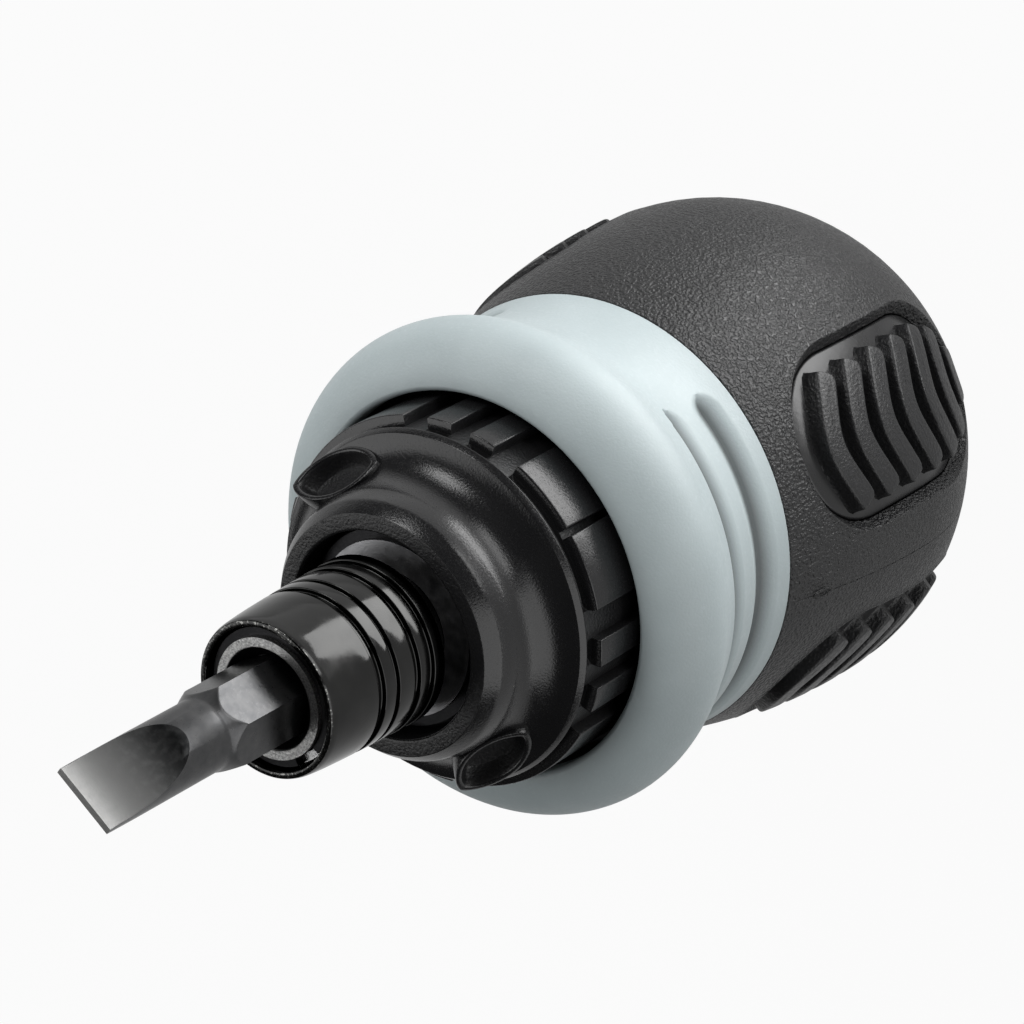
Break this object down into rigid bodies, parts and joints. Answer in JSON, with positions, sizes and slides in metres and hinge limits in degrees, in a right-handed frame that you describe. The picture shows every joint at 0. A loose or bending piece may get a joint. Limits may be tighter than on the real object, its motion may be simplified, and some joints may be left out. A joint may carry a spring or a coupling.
{
  "type": "ratcheting screwdriver",
  "caption": "Stubby ratcheting screwdriver with a ribbed ball grip, soft front ring, turning direction selector, quick-release hex chuck and a slotted bit.",
  "frame": {"origin": "centre of the flat butt face", "axes": "+Z along the tool's axis from the butt to the blade; X lies in the parting plane of the moulded handle"},
  "size_m": [0.0448, 0.0448, 0.1026],
  "materials": {
    "core_plastic": "matte moulded",
    "grip_black": "matte with a fine pebble grain",
    "pad_black": "satin sheet with grained ribs",
    "grip_grey": "satin soft moulding",
    "housing_zinc": "plain zinc casting",
    "bright_steel": "bright spring steel",
    "bush_bronze": "sintered bronze",
    "selector_black": "semi-gloss with a slight orange peel",
    "gear_steel": "hardened, oiled",
    "spindle_steel": "turned, plated",
    "sleeve_black": "glossy black plating",
    "bit_steel": "satin with ground faces"
  },
  "bodies": {
    "handle": {"handle_core": "core_plastic", "rear_grip": "grip_black", "grip_pad_1": "pad_black", "grip_pad_2": "pad_black", "grip_pad_3": "pad_black", "grip_pad_4": "pad_black", "front_grip": "grip_grey", "ratchet_housing": "housing_zinc", "front_plate": "housing_zinc", "housing_screws": "bright_steel", "spindle_bush": "bush_bronze", "selector_clip": "bright_steel", "pawl_pins": "bright_steel", "pawl_spring_a": "bright_steel", "pawl_spring_b": "bright_steel", "detent_spring": "bright_steel"},
    "selector": {"selector_ring": "selector_black"},
    "pawl_left": {"pawl_a": "gear_steel"},
    "pawl_right": {"pawl_b": "gear_steel"},
    "drive": {"spindle": "spindle_steel", "ratchet_gear": "gear_steel", "thrust_washer": "bush_bronze", "spindle_clip": "bright_steel", "sleeve_clip": "bright_steel", "spring_washer": "bright_steel", "chuck_spring": "bright_steel"},
    "sleeve": {"chuck_sleeve": "sleeve_black"},
    "ball": {"lock_ball": "bright_steel"},
    "bit": {"slotted_bit": "bit_steel"}
  },
  "joints": [
    {"name": "selector_turn", "type": "hinge", "parent": "handle", "child": "selector", "pos_m": [0, 0, 0.06002], "axis": [0, 0, 1], "range_deg": [-15, 15], "deforming": ["detent_spring"]},
    {"name": "pawl_a_swing", "type": "hinge", "parent": "handle", "child": "pawl_left", "pos_m": [0.00973, -0.00354, 0.05626], "axis": [0, 0, 1], "range_deg": [-8.1, 8.1], "deforming": ["pawl_spring_a"]},
    {"name": "pawl_b_swing", "type": "hinge", "parent": "handle", "child": "pawl_right", "pos_m": [-0.00973, -0.00354, 0.05626], "axis": [0, 0, 1], "range_deg": [-8.1, 8.1], "deforming": ["pawl_spring_b"]},
    {"name": "spindle_turn", "type": "hinge", "parent": "handle", "child": "drive", "pos_m": [0, 0, 0.05626], "axis": [0, 0, 1], "continuous": true},
    {"name": "sleeve_slide", "type": "slide", "parent": "drive", "child": "sleeve", "axis": [0, 0, 1], "range_m": [0, 0.0025], "stiffness_N_per_m": 1200, "springref_m": -0.002, "deforming": ["chuck_spring"]},
    {"name": "ball_lift", "type": "slide", "parent": "drive", "child": "ball", "axis": [1, 0, 0], "range_m": [0, 0.00052]},
    {"name": "bit_pull", "type": "slide", "parent": "drive", "child": "bit", "axis": [0, 0, 1], "range_m": [0, 0.012]}
  ],
  "couplings": [
    {"joint": "pawl_a_swing", "follows": "selector_turn", "ratio": -0.53333},
    {"joint": "pawl_b_swing", "follows": "selector_turn", "ratio": -0.53333},
    {"joint": "ball_lift", "follows": "sleeve_slide", "ratio": 0.2}
  ]
}
